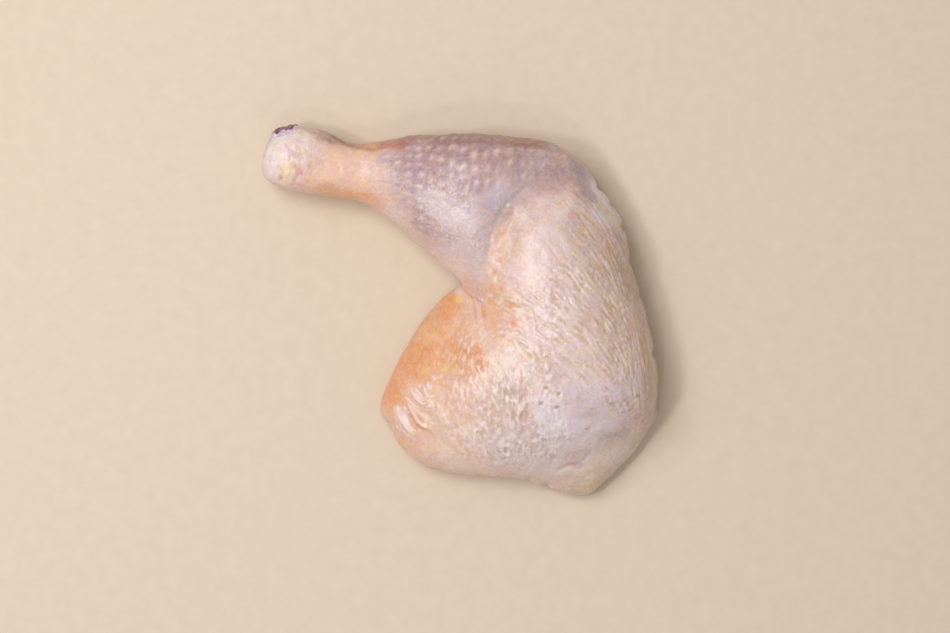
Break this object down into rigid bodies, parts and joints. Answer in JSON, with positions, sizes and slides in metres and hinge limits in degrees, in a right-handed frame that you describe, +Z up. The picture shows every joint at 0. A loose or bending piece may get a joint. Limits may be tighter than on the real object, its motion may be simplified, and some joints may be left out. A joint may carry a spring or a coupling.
{
  "type": "raw chicken leg quarter",
  "caption": "Raw chicken leg quarter with its skin on: a drumstick and thigh in one piece, bent at the knee and lying skin side up.",
  "frame": {"origin": "under the middle of the leg's box, on the surface it lies on", "axes": "+Z up, out of the skin side; +X from the hock towards the back edge of the thigh; +Y from the cut end of the thigh towards the drumstick"},
  "size_m": [0.1584, 0.1492, 0.0425],
  "materials": {
    "skin": "moist, slightly glossy raw poultry skin",
    "cartilage": "wet white cartilage stained dark purple-red"
  },
  "bodies": {
    "root": {"leg_quarter": "skin", "hock_joint": "cartilage"}
  },
  "joints": []
}
